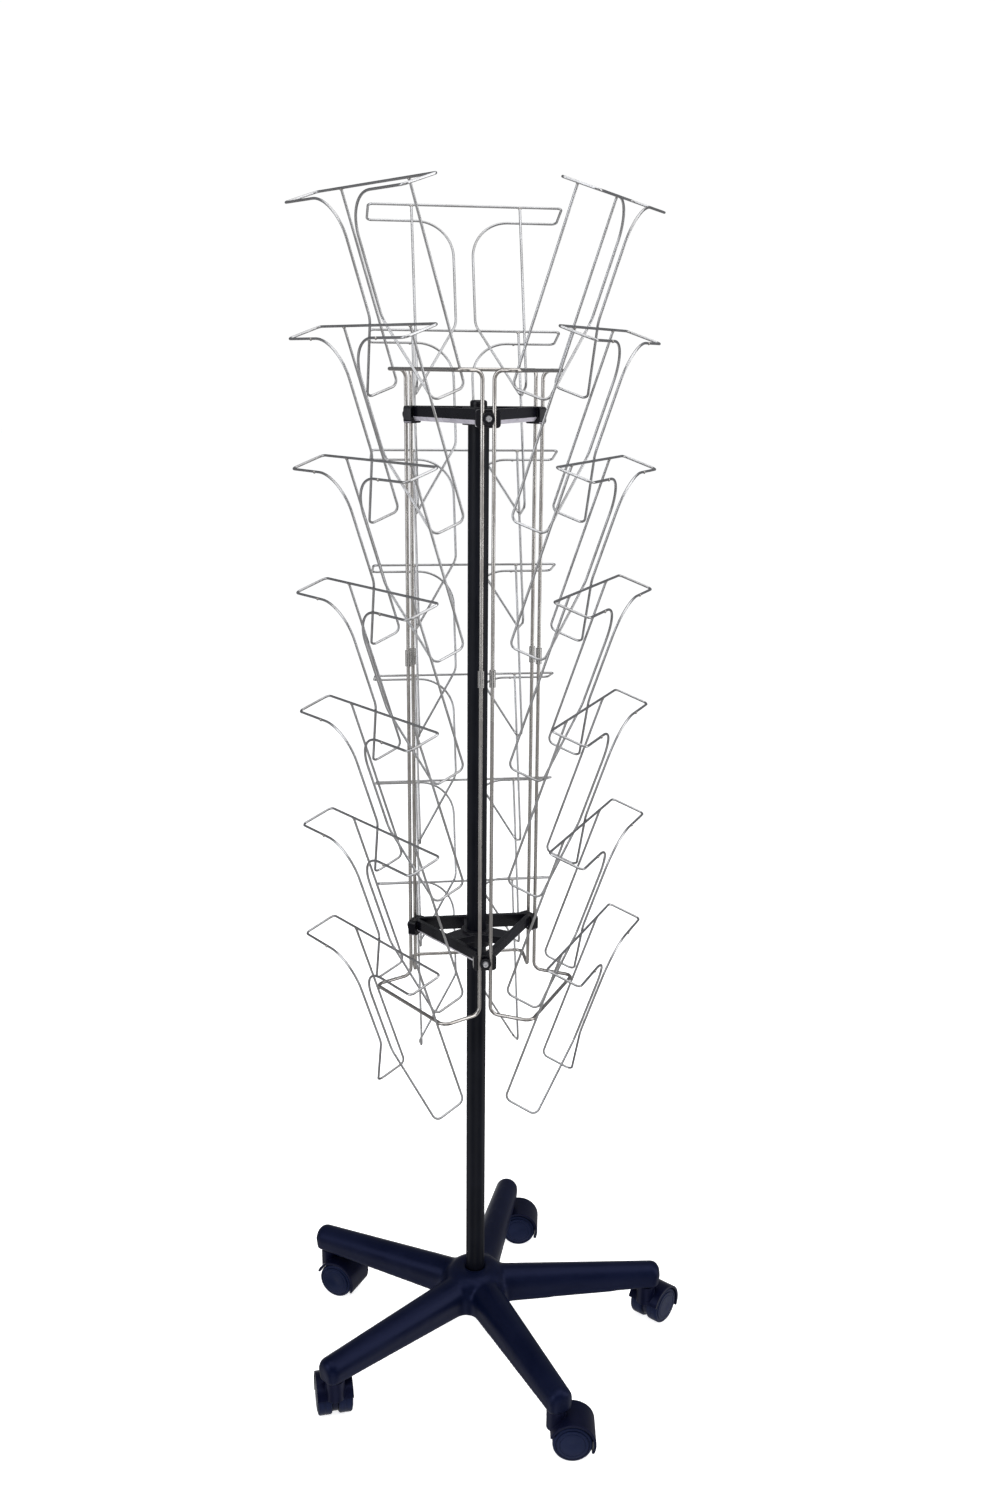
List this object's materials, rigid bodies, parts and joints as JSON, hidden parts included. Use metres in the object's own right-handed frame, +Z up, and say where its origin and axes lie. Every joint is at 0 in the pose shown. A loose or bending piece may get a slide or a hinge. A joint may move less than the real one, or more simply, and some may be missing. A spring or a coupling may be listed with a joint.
{
  "type": "rotating display rack",
  "caption": "Floor-standing rotating wire rack: columns of leaning A4 pockets turn together on a black post above a star base on casters.",
  "frame": {"origin": "on the post's axis at floor level, where the wheels stand", "axes": "+Z up along the post; panel c faces +Y, panel a faces 210 degrees and panel b 330 degrees from +X; base arm 1 points along +X"},
  "size_m": [0.5172, 0.5139, 1.4915],
  "materials": {
    "base_plastic": "moulded navy-black nylon, soft sheen",
    "caster_plastic": "moulded navy-black nylon",
    "wheel_plastic": "moulded navy-black nylon wheel",
    "post_paint": "satin black powder coat",
    "hub_paint": "semi-gloss black",
    "pocket_wire": "bright chrome plate",
    "frame_wire": "bright chrome plate",
    "sleeve_steel": "plated steel",
    "zinc_steel": "bright zinc plate",
    "bush_plastic": "black acetal"
  },
  "bodies": {
    "stand": {"star_base": "base_plastic", "post": "post_paint", "foot_bolt": "zinc_steel", "pivot_plug": "zinc_steel", "caster_sleeves": "zinc_steel", "caster_stems": "zinc_steel"},
    "carousel": {"upper_hub": "hub_paint", "lower_hub": "hub_paint", "upper_bush": "bush_plastic", "lower_bush": "bush_plastic", "clamp_washers": "hub_paint", "clamp_screws": "zinc_steel", "frame_sleeves": "sleeve_steel", "frame_upper_a": "frame_wire", "frame_upper_b": "frame_wire", "frame_upper_c": "frame_wire", "frame_lower_a": "frame_wire", "frame_lower_b": "frame_wire", "frame_lower_c": "frame_wire", "pocket_a1": "pocket_wire", "pocket_a2": "pocket_wire", "pocket_a3": "pocket_wire", "pocket_a4": "pocket_wire", "pocket_a5": "pocket_wire", "pocket_a6": "pocket_wire", "pocket_a7": "pocket_wire", "pocket_b1": "pocket_wire", "pocket_b2": "pocket_wire", "pocket_b3": "pocket_wire", "pocket_b4": "pocket_wire", "pocket_b5": "pocket_wire", "pocket_b6": "pocket_wire", "pocket_b7": "pocket_wire", "pocket_c1": "pocket_wire", "pocket_c2": "pocket_wire", "pocket_c3": "pocket_wire", "pocket_c4": "pocket_wire", "pocket_c5": "pocket_wire", "pocket_c6": "pocket_wire", "pocket_c7": "pocket_wire"},
    "caster_1": {"caster_hood_1": "caster_plastic", "caster_axle_1": "zinc_steel"},
    "wheel_l_1": {"wheel_left_1": "wheel_plastic"},
    "wheel_r_1": {"wheel_right_1": "wheel_plastic"},
    "caster_2": {"caster_hood_2": "caster_plastic", "caster_axle_2": "zinc_steel"},
    "wheel_l_2": {"wheel_left_2": "wheel_plastic"},
    "wheel_r_2": {"wheel_right_2": "wheel_plastic"},
    "caster_3": {"caster_hood_3": "caster_plastic", "caster_axle_3": "zinc_steel"},
    "wheel_l_3": {"wheel_left_3": "wheel_plastic"},
    "wheel_r_3": {"wheel_right_3": "wheel_plastic"},
    "caster_4": {"caster_hood_4": "caster_plastic", "caster_axle_4": "zinc_steel"},
    "wheel_l_4": {"wheel_left_4": "wheel_plastic"},
    "wheel_r_4": {"wheel_right_4": "wheel_plastic"},
    "caster_5": {"caster_hood_5": "caster_plastic", "caster_axle_5": "zinc_steel"},
    "wheel_l_5": {"wheel_left_5": "wheel_plastic"},
    "wheel_r_5": {"wheel_right_5": "wheel_plastic"}
  },
  "joints": [
    {"name": "carousel_spin", "type": "hinge", "parent": "stand", "child": "carousel", "pos_m": [0, 0, 1.25], "axis": [0, 0, 1], "continuous": true},
    {"name": "caster_swivel_1", "type": "hinge", "parent": "stand", "child": "caster_1", "pos_m": [0.242, 0, 0.055], "axis": [0, 0, 1], "continuous": true},
    {"name": "wheel_left_spin_1", "type": "hinge", "parent": "caster_1", "child": "wheel_l_1", "pos_m": [0.25686, 0.01338, 0.025], "axis": [0.6691, -0.7431, 0], "continuous": true},
    {"name": "wheel_right_spin_1", "type": "hinge", "parent": "caster_1", "child": "wheel_r_1", "pos_m": [0.25686, 0.01338, 0.025], "axis": [0.6691, -0.7431, 0], "continuous": true},
    {"name": "caster_swivel_2", "type": "hinge", "parent": "stand", "child": "caster_2", "pos_m": [0.07478, 0.23016, 0.055], "axis": [0, 0, 1], "continuous": true},
    {"name": "wheel_left_spin_2", "type": "hinge", "parent": "caster_2", "child": "wheel_l_2", "pos_m": [0.09448, 0.22668, 0.025], "axis": [-0.1736, -0.9848, 0], "continuous": true},
    {"name": "wheel_right_spin_2", "type": "hinge", "parent": "caster_2", "child": "wheel_r_2", "pos_m": [0.09448, 0.22668, 0.025], "axis": [-0.1736, -0.9848, 0], "continuous": true},
    {"name": "caster_swivel_3", "type": "hinge", "parent": "stand", "child": "caster_3", "pos_m": [-0.19578, 0.14224, 0.055], "axis": [0, 0, 1], "continuous": true},
    {"name": "wheel_left_spin_3", "type": "hinge", "parent": "caster_3", "child": "wheel_l_3", "pos_m": [-0.17882, 0.13165, 0.025], "axis": [-0.5299, -0.848, 0], "continuous": true},
    {"name": "wheel_right_spin_3", "type": "hinge", "parent": "caster_3", "child": "wheel_r_3", "pos_m": [-0.17882, 0.13165, 0.025], "axis": [-0.5299, -0.848, 0], "continuous": true},
    {"name": "caster_swivel_4", "type": "hinge", "parent": "stand", "child": "caster_4", "pos_m": [-0.19578, -0.14224, 0.055], "axis": [0, 0, 1], "continuous": true},
    {"name": "wheel_left_spin_4", "type": "hinge", "parent": "caster_4", "child": "wheel_l_4", "pos_m": [-0.19753, -0.12232, 0.025], "axis": [0.9962, 0.0872, 0], "continuous": true},
    {"name": "wheel_right_spin_4", "type": "hinge", "parent": "caster_4", "child": "wheel_r_4", "pos_m": [-0.19753, -0.12232, 0.025], "axis": [0.9962, 0.0872, 0], "continuous": true},
    {"name": "caster_swivel_5", "type": "hinge", "parent": "stand", "child": "caster_5", "pos_m": [0.07478, -0.23016, 0.055], "axis": [0, 0, 1], "continuous": true},
    {"name": "wheel_left_spin_5", "type": "hinge", "parent": "caster_5", "child": "wheel_l_5", "pos_m": [0.09459, -0.23294, 0.025], "axis": [-0.1392, -0.9903, 0], "continuous": true},
    {"name": "wheel_right_spin_5", "type": "hinge", "parent": "caster_5", "child": "wheel_r_5", "pos_m": [0.09459, -0.23294, 0.025], "axis": [-0.1392, -0.9903, 0], "continuous": true}
  ]
}
